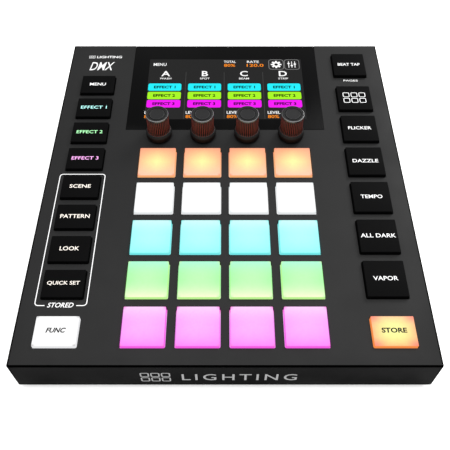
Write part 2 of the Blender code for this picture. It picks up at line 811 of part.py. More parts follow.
def make_feet():
    """Rubber feet, each with a stud pushed through a hole in the tray."""
    profile = [
        (0, case_bottom + TRAY_THICK),
        (FOOT_STUD_RADIUS, case_bottom + TRAY_THICK),
        (FOOT_STUD_RADIUS, FOOT_HEIGHT),
        (FOOT_RADIUS, FOOT_HEIGHT),
        (FOOT_RADIUS, FOOT_CHAMFER),
        (FOOT_RADIUS - FOOT_CHAMFER, 0),
        (0, 0),
    ]
    rubber = new_material("foot_rubber", (0.01, 0.01, 0.01), 0.9)
    mesh = turned_mesh("foot", profile, ROUND_STEPS)
    for name, x, y in foot_places():
        foot = place(f"foot_{name}", mesh, parts, None, (x, y, 0))
        paint(foot, rubber)


clear_scene()
parts = new_collection("lighting_control_desk")
cutters = new_collection("cutters")
deck = place("deck_frame", None, parts, None, (0, deck_front_y, deck_front_z), (DECK_TILT, 0, 0))

make_top_cover()
make_caps()
make_encoder_shafts()
make_knobs()
make_control_board()
make_screen()
make_rear_panel()
make_dmx_sockets()
make_usb_socket()
make_base_tray()
make_main_board()
make_feet()
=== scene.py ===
"""Looks for the lighting control desk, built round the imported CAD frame.

Most pieces are made in the deck's own frame: X to the right, Y up the slope from the front edge,
Z along the deck's normal, in metres, with the origin at the middle of the deck's front edge.
"""

import json
import math

import bmesh
import bpy
from mathutils import Matrix, Vector


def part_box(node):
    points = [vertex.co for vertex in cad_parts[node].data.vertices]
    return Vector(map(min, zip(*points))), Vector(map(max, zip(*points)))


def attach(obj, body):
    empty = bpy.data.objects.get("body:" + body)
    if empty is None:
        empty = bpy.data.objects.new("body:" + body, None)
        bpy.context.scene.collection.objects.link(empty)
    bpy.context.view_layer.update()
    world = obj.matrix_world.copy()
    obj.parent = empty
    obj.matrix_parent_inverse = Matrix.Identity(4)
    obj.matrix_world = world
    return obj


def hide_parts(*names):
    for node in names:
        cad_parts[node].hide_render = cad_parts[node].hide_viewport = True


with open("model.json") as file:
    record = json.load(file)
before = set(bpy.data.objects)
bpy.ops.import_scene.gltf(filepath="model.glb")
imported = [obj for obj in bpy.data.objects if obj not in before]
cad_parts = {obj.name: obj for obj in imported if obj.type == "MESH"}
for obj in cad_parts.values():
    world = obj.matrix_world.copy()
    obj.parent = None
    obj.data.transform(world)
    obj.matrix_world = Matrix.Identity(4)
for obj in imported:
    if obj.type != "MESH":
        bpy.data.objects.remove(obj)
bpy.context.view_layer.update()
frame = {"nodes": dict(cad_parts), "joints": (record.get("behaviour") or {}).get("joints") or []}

# The deck's frame, read from the CAD: its tilt from a key's slide, its place from the cover.
press = Vector(next(j["axis"] for j in frame["joints"] if j["name"] == "key_menu_press"))
TILT = Matrix.Rotation(math.atan2(press.y, -press.z), 4, "X")


def tilted_span(node, matrix):
    """Lowest and highest corner of a CAD node in the frame that matrix leads from."""
    points = [matrix @ vert.co for vert in frame["nodes"][node].data.vertices]
    low = Vector([min(point[i] for point in points) for i in range(3)])
    high = Vector([max(point[i] for point in points) for i in range(3)])
    return low, high


cover_low, cover_high = tilted_span("top_cover", TILT.inverted())
DECK = TILT @ Matrix.Translation((0, cover_low.y, cover_high.z))
CASE_WIDTH = cover_high.x - cover_low.x
CASE_LENGTH = cover_high.y - cover_low.y


def deck_span(node):
    return tilted_span(node, DECK.inverted())


# Sizes that the CAD's boxes don't give
DECK_THICK = 0.003
COVER_WALL = 0.002
FRONT_HEIGHT = 0.025
EDGE_ROUND = 0.0008
CAP_FLANGE = 0.0012
CAP_GAP = 0.0005
CAP_CORNER = 0.0005
CAP_EDGE = 0.00035
PAD_TRIM = 0.00012  # skin left off each side of a pad
FLANGE_THICK = 0.001
GAP = 0.0003
SEAM = 0.00006  # shown between the glass and the deck
PRINT = 0.00003  # thickness of printed marks
MARGIN = 0.001
CORNER_STEPS = 5
ROUND_STEPS = 48
WELD = 1e-7  # points nearer than this are one
SHARPEST = 0.0002  # least radius of a corner

COLOUR_DRIFT = 0.15  # how far a plain finish strays from its colour, each way
FINE_BUMP = 0.00001
GLOW = 0.87  # strength of a lit cap's own light
LIP_SHADE_FADE = 0.028  # height over which the lip and sides lighten out of the painted shade at the bottom
LIP_SHADE_BAND = 0.0009  # painted shade: black line along the lip's edges
# width over which the painted shade along the deck's back and side edges sets in
EDGE_SHADE_FADE = EDGE_ROUND * 0.15

UPRIGHT = Matrix.Identity(4)
LETTERS = "abcd"
ALL_CAPS = [name for name in frame["nodes"] if name.startswith(("pad_", "key_"))]

# ---- materials


def shown(code):
    """Linear colour of a display colour's hex code."""
    values = [value / 255 for value in bytes.fromhex(code)]
    return tuple(v / 12.92 if v < 0.04045 else ((v + 0.055) / 1.055) ** 2.4 for v in values)


def scaled(colour, *shares):
    """colour times one share, or times a share for each channel."""
    if len(shares) == 1:
        shares *= 3
    return tuple(value * share for value, share in zip(colour, shares))


class Paint:
    """A Principled material and short calls for the nodes behind it."""

    def __init__(self, name, colour=(0.5, 0.5, 0.5), roughness=0.5, metallic=0.0, specular=0.5):
        self.material = bpy.data.materials.new(name)
        self.material.use_nodes = True
        self.nodes = self.material.node_tree.nodes
        self.links = self.material.node_tree.links
        self.shader = self.nodes["Principled BSDF"]
        self.set("Base Color", (*colour, 1.0))
        self.set("Roughness", roughness)
        self.set("Metallic", metallic)
        self.set("Specular IOR Level", specular)
        self.place = self.node("TexCoord").outputs["Object"]

    def set(self, socket, value):
        self.shader.inputs[socket].default_value = value

    def link(self, source, target):
        self.links.new(source, target)

    def node(self, kind, **values):
        """A new node with sockets set to values; an underscore stands for a space."""
        node = self.nodes.new(f"ShaderNode{kind}")
        for socket, value in values.items():
            node.inputs[socket.replace("_", " ")].default_value = value
        return node

    def math(self, operation, first, second=0.0):
        node = self.node("Math")
        node.operation = operation
        for socket, value in zip(node.inputs, (first, second)):
            if isinstance(value, (int, float)):
                socket.default_value = value
            else:
                self.link(value, socket)
        return node.outputs[0]

    def spread(self, source, low, high, to_low=0.0, to_high=1.0, smooth=True):
        """source mapped from low..high to to_low..to_high, held at its ends."""
        node = self.node("MapRange", From_Min=low, From_Max=high, To_Min=to_low, To_Max=to_high)
        node.interpolation_type = "SMOOTHSTEP" if smooth else "LINEAR"
        self.link(source, node.inputs["Value"])
        return node.outputs["Result"]

    def noise(self, scale, detail=3.0, stretch=None):
        node = self.node("TexNoise", Scale=scale, Detail=detail)
        place = self.place
        if stretch:
            mapping = self.node("Mapping", Scale=stretch)
            self.link(place, mapping.inputs["Vector"])
            place = mapping.outputs["Vector"]
        self.link(place, node.inputs["Vector"])
        return node.outputs["Fac"]

    def mix(self, factor, first, second):
        node = self.node("Mix")
        node.data_type = "RGBA"
        self.link(factor, node.inputs["Factor"])
        colours = [socket for socket in node.inputs if socket.type == "RGBA"]
        for socket, value in zip(colours, (first, second)):
            if isinstance(value, tuple):
                socket.default_value = (*value, 1.0)
            else:
                self.link(value, socket)
        return next(socket for socket in node.outputs if socket.type == "RGBA")

    def axes(self, output="Object"):
        split = self.node("SeparateXYZ")
        self.link(self.node("TexCoord").outputs[output], split.inputs[0])
        return split.outputs

    def bump(self, height, distance):
        node = self.node("Bump", Distance=distance)
        self.link(height, node.inputs["Height"])
        self.link(node.outputs["Normal"], self.shader.inputs["Normal"])

    def grain(self, size, depth, rough_low, rough_high):
        """Moulded or coated grain: bumps about size across and a drifting roughness."""
        self.bump(self.noise(1.0 / size, 4.0), depth)
        self.vary("Roughness", self.noise(30.0), rough_low, rough_high)

    def vary(self, socket, source, low, high):
        """Sends the middle of source's range to a socket as low to high."""
        self.link(self.spread(source, 0.3, 0.7, low, high), self.shader.inputs[socket])

    def colour(self, source, socket="Base Color"):
        self.link(source, self.shader.inputs[socket])


def cover_paint():
    """Fine-grained charcoal coat of the deck, with painted shade that turns it black along its back and
    sides.
    """
    paint = Paint("cover_charcoal", specular=0.13)
    paint.grain(0.00035, 0.00003, 0.48, 0.6)
    drift = paint.spread(paint.noise(14.0), 0.35, 0.65)
    coat = paint.mix(drift, (0.0112, 0.0112, 0.0114), (0.013, 0.013, 0.013))
    axes = paint.axes()
    # Painted shade: black lines along the deck's back and side edges, next to the black folds.
    back = CASE_LENGTH - EDGE_ROUND * 0.8
    back_edge_shade = paint.spread(along_deck(paint, axes), back, back + EDGE_SHADE_FADE)
    side = CASE_WIDTH / 2 - EDGE_ROUND * 1.5
    side_edge_shade = paint.spread(paint.math("ABSOLUTE", axes[0]), side, side + EDGE_SHADE_FADE)
    line = paint.math("MAXIMUM", back_edge_shade, side_edge_shade)
    paint.colour(paint.mix(line, coat, (0.0006, 0.0006, 0.0006)))
    return paint.material


def along_deck(paint, axes, direction=(0, 1, 0)):
    """How far a point lies along one of the deck's own directions."""
    direction = DECK.to_3x3() @ Vector(direction)
    parts = [paint.math("MULTIPLY", axes[i], direction[i]) for i in (1, 2)]
    return paint.math("SUBTRACT", paint.math("ADD", *parts), direction.dot(DECK.translation))


def lip_paint():
    """The front lip and the sides: the charcoal coat painted darker as shade and darkest at the lip's
    bottom, with painted shade in black along the folds, front corners and bottom.
    """
    paint = Paint("cover_lip", specular=0.012)
    paint.grain(0.00035, 0.00003, 0.5, 0.62)
    axes = paint.axes()
    bottom = (DECK @ Vector((0, 0, -FRONT_HEIGHT))).z
    behind_front = along_deck(paint, axes)
    under_deck = along_deck(paint, axes, (0, 0, -1))
    # Painted shade: black bands along the top fold and the bottom edge, and at the front corners.
    top_shade_band = paint.spread(under_deck, EDGE_ROUND + LIP_SHADE_BAND, EDGE_ROUND + LIP_SHADE_BAND * 1.3, 1.0, 0.0)
    bottom_shade_band = paint.spread(axes[2], bottom + LIP_SHADE_BAND * 1.3, bottom + LIP_SHADE_BAND * 1.7, 1.0, 0.0)
    out = paint.math("ABSOLUTE", axes[0])
    side = CASE_WIDTH / 2
    near_side = paint.spread(out, side - LIP_SHADE_BAND * 2.0, side - LIP_SHADE_BAND * 1.5)
    near_front = paint.spread(behind_front, LIP_SHADE_BAND * 1.5, LIP_SHADE_BAND * 2.0, 1.0, 0.0)
    corner = paint.math("MULTIPLY", near_side, near_front)
    black = paint.math("MAXIMUM", paint.math("MAXIMUM", top_shade_band, bottom_shade_band), corner)
    # Painted shade: the lip darkens towards its bottom, and the lip and sides are darker copies of the
    # deck's coat.
    drift = paint.spread(paint.noise(14.0), 0.3, 0.7, 0.85, 1.0)
    height = paint.math("MULTIPLY", paint.spread(axes[2], bottom, bottom + LIP_SHADE_FADE), drift)
    lip = paint.mix(height, (0.0002, 0.0002, 0.0002), (0.0084, 0.0084, 0.0085))
    beside = paint.spread(behind_front, LIP_SHADE_BAND, LIP_SHADE_BAND * 2.5)
    sides = paint.mix(drift, (0.0066, 0.0066, 0.0067), (0.01, 0.01, 0.0101))
    colour = paint.mix(beside, lip, sides)
    paint.colour(paint.mix(black, colour, (0.0004, 0.0004, 0.0004)))
    return paint.material


def plain_paint(name, colour, low, high, grain, depth, metallic=0.0, specular=0.5):
    """A coated, moulded or metal finish whose colour and roughness drift a little."""
    paint = Paint(name, colour, low, metallic, specular)
    paint.grain(grain, depth, low, high)
    darker, lighter = scaled(colour, 1 - COLOUR_DRIFT), scaled(colour, 1 + COLOUR_DRIFT)
    paint.colour(paint.mix(paint.spread(paint.noise(60.0, 4.0), 0.3, 0.7), darker, lighter))
    return paint.material


def brushed_paint(name, colour, low, high, stretch):
    """Metal with fine lines drawn along one axis."""
    paint = Paint(name, colour, low, 1.0)
    lines = paint.noise(900.0, 3.0, stretch)
    paint.bump(lines, FINE_BUMP)
    paint.vary("Roughness", lines, low, high)
    return paint.material


def glow_paint(name, look, half, power, corner_start):
    """Lit translucent silicone, shading from its lamp to the sides, the front, the back and the walls.

    look gives those five colours and that of the corners; half is the cap's half width and half depth.
    """
    centre, flank, front, back, wall, corners = [shown(code) for code in look.split()]
    paint = Paint(name, roughness=0.5, specular=0.25)
    axes = paint.axes()
    u = paint.math("ABSOLUTE", paint.math("DIVIDE", axes[0], half[0]))
    v = paint.math("DIVIDE", axes[1], half[1])
    colour = paint.mix(paint.math("POWER", u, power), centre, flank)
    for towards, tint in ((paint.math("MULTIPLY", v, -1.0), front), (v, back)):
        ahead = paint.math("POWER", paint.math("MAXIMUM", towards, 0.0), power)
        colour = paint.mix(ahead, colour, tint)
    near_corner = [paint.spread(t, corner_start, 1.0) for t in (u, paint.math("ABSOLUTE", v))]
    colour = paint.mix(paint.math("MULTIPLY", *near_corner), colour, corners)
    up = paint.axes("Normal")[2]
    colour = paint.mix(paint.spread(up, 0.3, 0.95, 1.0, 0.0), colour, wall)
    clouds = paint.noise(700.0, 2.0)
    colour = paint.mix(paint.spread(clouds, 0.2, 0.8, 0.0, 0.04), colour, wall)
    paint.colour(colour, "Emission Color")
    paint.set("Emission Strength", GLOW)
    paint.colour(paint.mix(paint.spread(clouds, 0.2, 0.8, GLOW, 0.9), colour, (0.0, 0.0, 0.0)))
    paint.bump(paint.noise(4000.0), FINE_BUMP)
    paint.vary("Roughness", paint.noise(150.0), 0.42, 0.58)
    return paint.material


def ink_paint(name, colour, level, share):
    """Printed or lit marks with a print's faint mottle. The lamps light a share of their colour; the
    rest is their own light, which on printed marks is painted glow.
    """
    paint = Paint(name, scaled(colour, share), 0.45, specular=0.2 * share)
    mottle = paint.spread(paint.noise(2500.0, 2.0), 0.3, 0.7, 0.0, 0.12)
    paint.colour(paint.mix(mottle, colour, scaled(colour, 0.7)), "Emission Color")
    # Printed marks glow too: painted light that keeps the print bright.
    paint.set("Emission Strength", level)
    return paint.material


def board_paint(name, colour):
    """Solder mask over copper tracks."""
    paint = Paint(name, colour, 0.4)
    darker, tracks = (*scaled(colour, 0.8, 0.85, 0.8), 1.0), (*scaled(colour, 2.0, 1.7, 1.6), 1.0)
    bricks = paint.node(
        "TexBrick", Scale=180.0, Mortar_Size=0.06, Color1=(*colour, 1.0), Color2=darker, Mortar=tracks
    )
    paint.link(paint.place, bricks.inputs["Vector"])
    paint.colour(bricks.outputs["Color"])
    paint.bump(bricks.outputs["Fac"], 0.00003)
    paint.vary("Roughness", paint.noise(80.0), 0.32, 0.5)
    return paint.material


def glass_paint():
    """Black-backed cover glass with the faint smears of use."""
    paint = Paint("cover_glass", (0.004, 0.004, 0.0042), 0.12, specular=0.01)
    smears = paint.noise(22.0, 5.0, (1.0, 0.45, 1.0))
    paint.link(paint.spread(smears, 0.35, 0.75, 0.1, 0.26), paint.shader.inputs["Roughness"])
    darker, lighter = (0.0036, 0.0036, 0.0037), (0.0044, 0.0044, 0.0045)
    paint.colour(paint.mix(paint.spread(smears, 0.3, 0.8), darker, lighter))
    return paint.material


# ---- shapes


def smooth_below(mesh, angle):
    mesh.shade_smooth()
    mesh.set_sharp_from_angle(angle=math.radians(angle))


def add_object(name, data, matrix=UPRIGHT):
    holder = bpy.data.objects.new(name, data)
    bpy.context.scene.collection.objects.link(holder)
    holder.matrix_world = matrix
    return holder


def finish_piece(name, mesh, material, body, matrix, replaces=(), slot=None, smooth=30.0):
    """Makes the piece, puts it in place, gives it its looks and hangs it on its body."""
    piece = add_object(name, mesh, matrix)
    if not mesh.materials:
        mesh.materials.append(material)
    smooth_below(mesh, smooth)
    bpy.context.view_layer.update()
    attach(piece, body)
    if replaces:
        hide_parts(*replaces)
    return piece


def on_deck(x=0.0, y=0.0, z=0.0):
    return DECK @ Matrix.Translation((x, y, z))


def turn(degrees, axis="X"):
    return Matrix.Rotation(math.radians(degrees), 4, axis)


def mesh_from(name, build):
    shape = bmesh.new()
    build(shape)
    bmesh.ops.remove_doubles(shape, verts=shape.verts, dist=WELD)
    bmesh.ops.recalc_face_normals(shape, faces=shape.faces)
    mesh = bpy.data.meshes.new(name)
    shape.to_mesh(mesh)
    shape.free()
    return mesh


def built(name, build, *looks):
    return finish_piece(name, mesh_from(name, build), *looks)


def rounded_outline(width, depth, radius, steps=CORNER_STEPS):
    """Corner points of a rounded rectangle round the origin, anticlockwise."""
    points = []
    for sx, sy, start in ((1, 1, 0), (-1, 1, 90), (-1, -1, 180), (1, -1, 270)):
        middle = (sx * (width / 2 - radius), sy * (depth / 2 - radius))
        for i in range(steps + 1):
            angle = math.radians(start + 90 * i / steps)
            points.append((middle[0] + radius * math.cos(angle), middle[1] + radius * math.sin(angle)))
    return points


def join_rings(shape, rings, closed=False):
    """Walls between rings with as many points each, and a face over both ends unless they meet."""
    count = len(rings[0])
    for lower, upper in zip(rings, rings[1:] + (rings[:1] if closed else [])):
        for i in range(count):
            j = (i + 1) % count
            shape.faces.new((lower[i], lower[j], upper[j], upper[i]))
    if not closed:
        shape.faces.new(rings[0][::-1])
        shape.faces.new(rings[-1])


def add_layers(shape, layers, x=0.0, y=0.0):
    """A closed solid through layers of (outline, height), all with as many points, bottom first."""
    join_rings(shape, [
        [shape.verts.new((x + px, y + py, height)) for px, py in outline] for outline, height in layers
    ])


def eased(width, depth, radius, top, edge, steps=4):
    """Layers that round a plate's top edge off with the radius edge."""
    layers = []
    for i in range(steps + 1):
        angle = math.radians(90 * i / steps)
        inset = edge * (1 - math.cos(angle))
        height = top - edge + edge * math.sin(angle)
        corner = max(radius - inset, SHARPEST)
        layers.append((rounded_outline(width - 2 * inset, depth - 2 * inset, corner), height))
    return layers


def turned(name, profile, steps=ROUND_STEPS, ripple=None, ring=False):
    """A solid turned from (radius, height) rows, bottom first, or a ring from a closed loop of them.

    ripple(i, angle) thins row i in places.
    """

    def build(shape):
        angles = [2 * math.pi * j / steps for j in range(steps)]
        rings = []
        for i, (radius, height) in enumerate(profile):
            radii = [radius - (ripple(i, angle) if ripple else 0.0) for angle in angles]
            spots = [(r * math.cos(a), r * math.sin(a), height) for r, a in zip(radii, angles)]
            rings.append([shape.verts.new(spot) for spot in spots])
        join_rings(shape, rings, ring)

    return mesh_from(name, build)


def rows(radius, height, *steps):
    """Profile rows at (outward, upward) steps, in tenths of a millimetre, off radius and height."""
    return [(radius + out / 10000, height + up / 10000) for out, up in steps]


def spun(name, profile, look, body, matrix, *rest, steps=ROUND_STEPS, ring=False):
    finish_piece(name, turned(name, profile, steps, ring=ring), look, body, matrix, *rest)


def add_strip(shape, points, width, closed=False):
    """A flat band of the given width along points."""
    count = len(points)
    sides = []
    for i, (x, y) in enumerate(points):
        before = points[i - 1] if i or closed else points[i]
        after = points[(i + 1) % count] if i + 1 < count or closed else points[i]
        along = Vector((after[0] - before[0], after[1] - before[1])).normalized()
        across = Vector((-along.y, along.x)) * (width / 2)
        sides.append([
            shape.verts.new((x + side * across.x, y + side * across.y, height))
            for side, height in ((1, 0.0), (-1, 0.0), (-1, PRINT), (1, PRINT))
        ])
    join_rings(shape, sides, closed)


def add_prism(shape, outline, bottom, top, x=0.0, y=0.0):
    add_layers(shape, [(outline, bottom), (outline, top)], x, y)


def add_plate(shape, width, depth, radius, x=0.0, y=0.0, top=PRINT):
    add_prism(shape, rounded_outline(width, depth, radius, 3), 0.0, top, x, y)


def evaluated_mesh(holder):
    return bpy.data.meshes.new_from_object(holder.evaluated_get(bpy.context.evaluated_depsgraph_get()))


def text_mesh(name, words, height, width=None, stretch=1.15, bold=0.0, slant=0.0, spacing=1.0):
    """Words as a thin solid centred on the origin, their capitals height tall."""
    curve = bpy.data.curves.new(name, "FONT")
    curve.body = words
    curve.offset = bold
    curve.shear = slant
    curve.extrude = 0.05
    curve.space_character = spacing
    curve.resolution_u = 3
    holder = add_object(name, curve)
    mesh = evaluated_mesh(holder)
    bpy.data.objects.remove(holder, do_unlink=True)
    low = [min(vert.co[i] for vert in mesh.vertices) for i in range(3)]
    high = [max(vert.co[i] for vert in mesh.vertices) for i in range(3)]
    tall = height / (high[1] - low[1])
    wide = width / (high[0] - low[0]) if width else tall * stretch
    for vert in mesh.vertices:
        vert.co.x = (vert.co.x - (low[0] + high[0]) / 2) * wide
        vert.co.y = (vert.co.y - (low[1] + high[1]) / 2) * tall
        vert.co.z = (vert.co.z - low[2]) / (high[2] - low[2]) * PRINT
    shape = bmesh.new()
    shape.from_mesh(mesh)
    bmesh.ops.remove_doubles(shape, verts=shape.verts, dist=WELD)
    shape.to_mesh(mesh)
    shape.free()
    mesh.name = name
    mesh.materials.clear()
    return mesh


def label(name, words, material, matrix, height, body="root", **style):
    """A printed word as a piece of its own."""
    finish_piece(name, text_mesh(name, words, height, **style), material, body, matrix)


def cut(piece, operation, build):
    """Cuts from piece, or joins to it, the shape build(shape) makes in the piece's own space."""
    tool = add_object("tool", mesh_from("tool", build), piece.matrix_world)
    modifier = piece.modifiers.new("Cut", "BOOLEAN")
    modifier.operation = operation
    modifier.solver = "EXACT"
    modifier.object = tool
    bpy.context.view_layer.update()
    result = evaluated_mesh(piece)
    piece.modifiers.clear()
    piece.data = result
    bpy.data.objects.remove(tool, do_unlink=True)


def add_box(shape, low, high):
    corners = [(low[0], low[1]), (high[0], low[1]), (high[0], high[1]), (low[0], high[1])]
    add_prism(shape, corners, low[2], high[2])


def circle(radius, steps=ROUND_STEPS):
    angles = [2 * math.pi * i / steps for i in range(steps)]
    return [(radius * math.cos(angle), radius * math.sin(angle)) for angle in angles]


# ---- the case

FOLD_STEPS = 5
FLAT_ENOUGH = 0.999  # a face square to an axis isn't part of a fold
SIDE_FOLD_START = math.radians(6)  # painted shade: the side folds are black past this slope
SHAFT_HOLE_RADIUS = 0.0039
cover_drop = cover_low.z - cover_high.z


def cap_span(name):
    """Middle, width and depth of a cap above its flange."""
    low, high = deck_span(name)
    middle = (low + high) / 2
    return middle.x, middle.y, high.x - low.x - 2 * CAP_FLANGE, high.y - low.y - 2 * CAP_FLANGE


def base_height(y):
    """Height of the case's bottom edge below the deck, y up the slope from the front."""
    return -FRONT_HEIGHT + (cover_drop + FRONT_HEIGHT) * y / CASE_LENGTH


def make_cover():
    """The shell: deck, front lip and sides, with rounded folds painted black as shade, and every
    opening.
    """
    half = CASE_WIDTH / 2

    def wedge(shape):
        corners = ((-half, 0), (half, 0), (half, CASE_LENGTH), (-half, CASE_LENGTH))
        bottom = [shape.verts.new((x, y, base_height(y))) for x, y in corners]
        top = [shape.verts.new((x, y, 0)) for x, y in corners]
        join_rings(shape, [bottom, top])
        back = CASE_LENGTH - MARGIN
        folds = [edge for edge in shape.edges if min(vert.co.y for vert in edge.verts) <= back]
        bmesh.ops.bevel(
            shape, geom=folds, offset=EDGE_ROUND, segments=FOLD_STEPS, profile=0.5, affect="EDGES"
        )
        shape.normal_update()
        for face in shape.faces:
            normal = face.normal
            largest = max(abs(value) for value in normal)
            on_side_fold = abs(normal.y) < MARGIN and normal.z > math.cos(SIDE_FOLD_START)
            # Fold faces get the black fold paint, painted shade; the lip and sides get their darker
            # paint, also painted shade.
            if largest < FLAT_ENOUGH and not on_side_fold:
                face.material_index = 1
            elif normal.z < FLAT_ENOUGH / 2:
                face.material_index = 2

    def hollow(shape):
        inside = half - COVER_WALL
        low = (-inside, COVER_WALL, cover_drop - MARGIN)
        add_box(shape, low, (inside, CASE_LENGTH + MARGIN, -DECK_THICK))

    def openings(shape):
        for name in ALL_CAPS:
            x, y, width, depth = cap_span(name)
            outline = rounded_outline(width + 2 * CAP_GAP, depth + 2 * CAP_GAP, CAP_CORNER + CAP_GAP)
            add_prism(shape, outline, -DECK_THICK - MARGIN, MARGIN, x, y)
        for letter in LETTERS:
            low, high = deck_span(f"encoder_shaft_{letter}")
            middle = (low + high) / 2
            hole = circle(SHAFT_HOLE_RADIUS)
            add_prism(shape, hole, -DECK_THICK - MARGIN, MARGIN, middle.x, middle.y)

    def screen_opening(shape):
        low, high = deck_span("screen_glass")
        corner = (high.x + SEAM, high.y + MARGIN, MARGIN)
        add_box(shape, low - Vector((SEAM, SEAM, GAP)), corner)

    def module_opening(shape):
        low, high = deck_span("display_module")
        add_box(shape, low - Vector((GAP, GAP, 0)), high + Vector((GAP, GAP, GAP)))

    mesh = mesh_from("cover_shell", wedge)
    mesh.materials.append(cover_paint())
    # Painted shade on the folds: near black, with no reflection at all (IOR 1).
    black = (0.0003, 0.0003, 0.0003)
    fold_shade_paint = plain_paint("cover_fold_shade", black, 0.5, 0.62, 0.0004, 0.00002, specular=0.006)
    fold_shade_paint.node_tree.nodes["Principled BSDF"].inputs["IOR"].default_value = 1.0
    mesh.materials.append(fold_shade_paint)
    mesh.materials.append(lip_paint())
    shell = finish_piece("cover_shell", mesh, None, "root", DECK, ("top_cover",), "cover")
    for build in (hollow, openings, screen_opening, module_opening):
        cut(shell, "DIFFERENCE", build)
    # Upright in the shared frame, so that its own box is its true one
    shell.data.transform(shell.matrix_world)
    shell.matrix_world = UPRIGHT
    smooth_below(shell.data, 25)


# ---- caps


def cap_mesh(name, width, depth):
    """A cap with its eased top edge, on the flange that keeps it under the deck."""
    flange_bottom, top = (corner.z for corner in deck_span(name))
    flange = rounded_outline(width + 2 * CAP_FLANGE, depth + 2 * CAP_FLANGE, CAP_CORNER + CAP_FLANGE)
    if name.startswith("pad_"):
        width -= 2 * PAD_TRIM
    body = rounded_outline(width, depth, CAP_CORNER)
    flange_top = flange_bottom + FLANGE_THICK

    def build(shape):
        layers = [(flange, flange_bottom), (flange, flange_top), (body, flange_top)]
        layers += eased(width, depth, CAP_CORNER, top, CAP_EDGE)
        add_layers(shape, layers)

    return mesh_from(name, build)


PAD_LOOKS = {
    # row: display colours over the lamp, of flanks, front, back, walls and corners
    "1": "ffaeff ff9eff ff80fa ffd0ff ff62ec ff84da",
    "2": "bcffb4 a8ffa6 f6ffce aaffd8 c4fc96 c4f8b2",
    "3": "b0ffff a0ffff 91fffa ceffff 78f0f2 8cece6",
    "4": "ffffff fefefe fdffff fffdfd eceef0 dee8ea",
    "5": "fffaa6 ffbe90 ffc8ac ffa682 ffb276 ff967a",
}
LIT_WHITE = "ffffff fcfcfc fefefe fcfcfc f0f0f2 b0aeb0"
LIT_AMBER = "ffff9c ffba84 ffbc7c ffc896 ff924a ff8c76"
ROW_SLOTS = {"1": "magenta", "2": "green", "3": "cyan", "4": "white", "5": "amber"}
ROUND_GLOW = 1.15  # power of a glow that spreads evenly from its lamp
KEY_GLOW = 1.9
EDGE_GLOW = 2.0  # power of a glow that only turns near the edges
CORNER_START = 0.78  # share of the cap's half width at which a corner's own colour begins
KEY_CORNER_START = 0.35


def cap_look(name):
    """A cap's colours, the power of its glow and its slot. A black key has neither of the first two."""
    if name.startswith("pad_"):
        row = name[len("pad_")]
        return PAD_LOOKS[row], ROUND_GLOW if row == "5" else EDGE_GLOW, f"pad_{ROW_SLOTS[row]}"
    if name == "key_func":
        return LIT_WHITE, EDGE_GLOW, "key_lit_white"
    if name == "key_store":
        return LIT_AMBER, KEY_GLOW, "key_lit_amber"
    return None, None, "key_black"


def make_caps():
    dark = (0.002, 0.002, 0.0021)
    black = plain_paint("key_silicone", dark, 0.55, 0.7, 0.0003, 0.00003, specular=0.028)
    glows = {}
    meshes = {}
    for name in ALL_CAPS:
        x, y, width, depth = cap_span(name)
        look, power, slot = cap_look(name)
        if look and slot not in glows:
            corner_start = KEY_CORNER_START if name == "key_store" else CORNER_START
            half = (width / 2, depth / 2)
            glows[slot] = glow_paint(f"glow_{slot}", look, half, power, corner_start)
        key = (slot, round(width, 5), round(depth, 5))
        if key not in meshes:
            meshes[key] = cap_mesh(name, width, depth)
        paint = glows.get(slot, black)
        finish_piece(f"{name}_cap", meshes[key], paint, name, on_deck(x, y), (name,), slot)


# ---- legends

KEY_LEGENDS = {
    # key: words, colour, width in millimetres
    "key_menu": ("MENU", "white", 10.9),
    "key_effect_1": ("EFFECT 1", "cyan", 17.2),
    "key_effect_2": ("EFFECT 2", "green", 16.8),
    "key_effect_3": ("EFFECT 3", "pink", 16.8),
    "key_bank_4": ("SCENE", "warm", 12.8),
    "key_bank_3": ("PATTERN", "warm", 17.2),
    "key_bank_2": ("LOOK", "warm", 11.0),
    "key_bank_1": ("QUICK SET", "warm", 17.8),
    "key_tap": ("BEAT TAP", "white", 15.6),
    "key_flash": ("FLICKER", "white", 15.0),
    "key_blind": ("DAZZLE", "white", 16.0),
    "key_rate": ("TEMPO", "white", 13.0),
    "key_all_off": ("ALL DARK", "white", 20.2),
    "key_haze": ("VAPOR", "white", 13.6),
}
LIT_LEGENDS = {
    # key: words, width in millimetres, slant
    "key_func": ("FUNC", 10.4, 0.25),
    "key_store": ("STORE", 13.2, 0.0),
}
LEGEND_HEIGHT = 0.0027
LIT_LEGEND_HEIGHT = 0.0029
LIT_LEGEND_SHIFT = 0.0004
NAME_Y = 0.2367  # of the small name line, up the deck


def on_key(key, shift=0.0):
    """The middle of a key's face, shifted up the deck."""
    x, y, _, _ = cap_span(key)
    return on_deck(x, y + shift, deck_span(key)[1].z)


